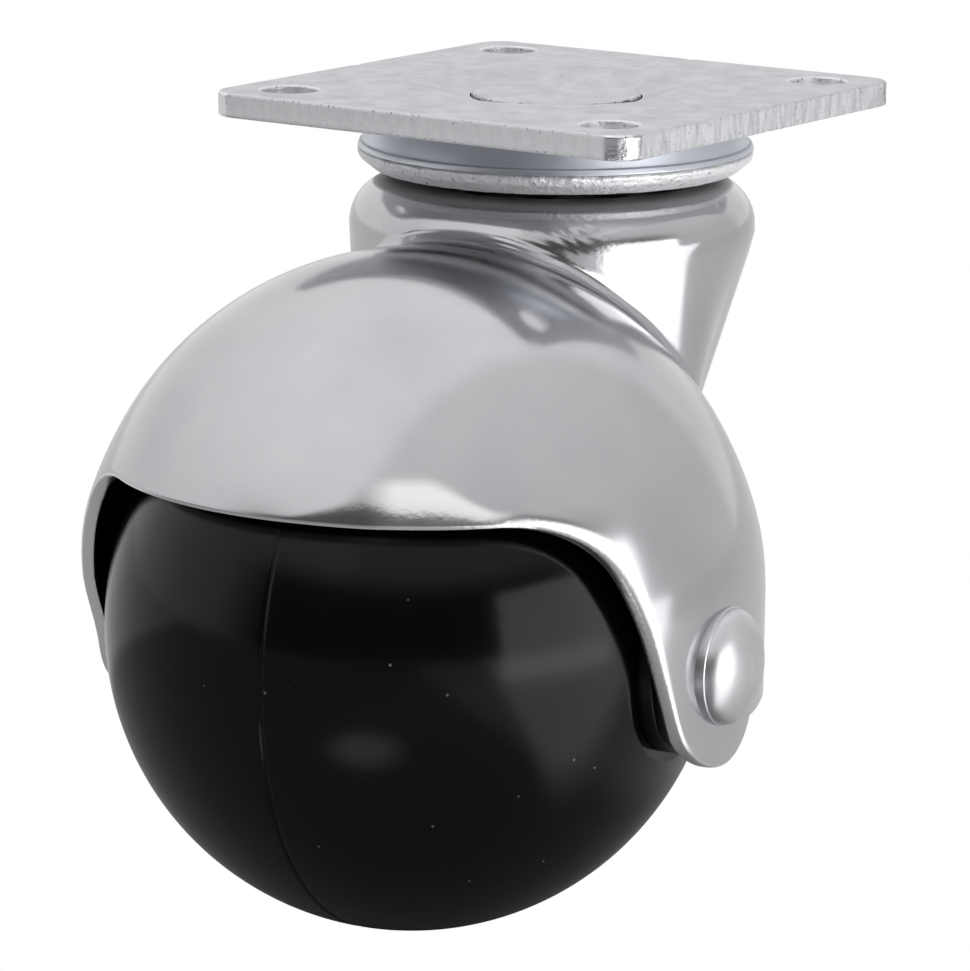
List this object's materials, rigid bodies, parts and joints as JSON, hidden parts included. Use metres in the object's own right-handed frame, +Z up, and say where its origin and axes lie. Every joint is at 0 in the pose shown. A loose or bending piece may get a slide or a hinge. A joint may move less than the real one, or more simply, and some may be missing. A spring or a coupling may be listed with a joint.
{
  "type": "ball caster",
  "caption": "Swivel ball caster: black moulded ball under a bright pressed hood with a ball-bearing swivel and a square screw-on mounting plate.",
  "frame": {"origin": "centre of the mounting plate's top face, on the swivel axis", "axes": "+Z up along the swivel axis, X and Y along the plate's sides; the ball trails towards -Y"},
  "size_m": [0.059, 0.0712, 0.066],
  "materials": {
    "zinc_plate": "bright zinc on rolled sheet, matt",
    "bare_steel": "zinc-plated rivet steel",
    "bright_hood": "polished bright plating over a deep-drawn sheet",
    "bright_rivet": "satin bright plating",
    "black_ball": "semi-gloss moulded plastic",
    "black_bush": "moulded plastic",
    "bearing_steel": "greased bearing steel"
  },
  "bodies": {
    "plate": {"mounting_plate": "zinc_plate", "race_cup": "zinc_plate", "king_pin": "bare_steel", "thrust_washer": "bare_steel"},
    "swivel": {"swivel_hood": "bright_hood", "axle_rivet": "bright_rivet"},
    "ball": {"ball_wheel": "black_ball", "hub_bush_right": "black_bush", "hub_bush_left": "black_bush"},
    "race": {"race_ball_01": "bearing_steel", "race_ball_02": "bearing_steel", "race_ball_03": "bearing_steel", "race_ball_04": "bearing_steel", "race_ball_05": "bearing_steel", "race_ball_06": "bearing_steel", "race_ball_07": "bearing_steel", "race_ball_08": "bearing_steel", "race_ball_09": "bearing_steel", "race_ball_10": "bearing_steel", "race_ball_11": "bearing_steel", "race_ball_12": "bearing_steel"}
  },
  "joints": [
    {"name": "swivel", "type": "hinge", "parent": "plate", "child": "swivel", "pos_m": [0, 0, 0], "axis": [0, 0, 1], "continuous": true},
    {"name": "ball_roll", "type": "hinge", "parent": "swivel", "child": "ball", "pos_m": [0.00355, -0.02525, -0.041], "axis": [0.9903, 0.1392, 0], "continuous": true},
    {"name": "race_roll", "type": "hinge", "parent": "plate", "child": "race", "pos_m": [0, 0, 0], "axis": [0, 0, 1], "continuous": true}
  ],
  "couplings": [
    {"joint": "race_roll", "follows": "swivel", "ratio": 0.5}
  ]
}
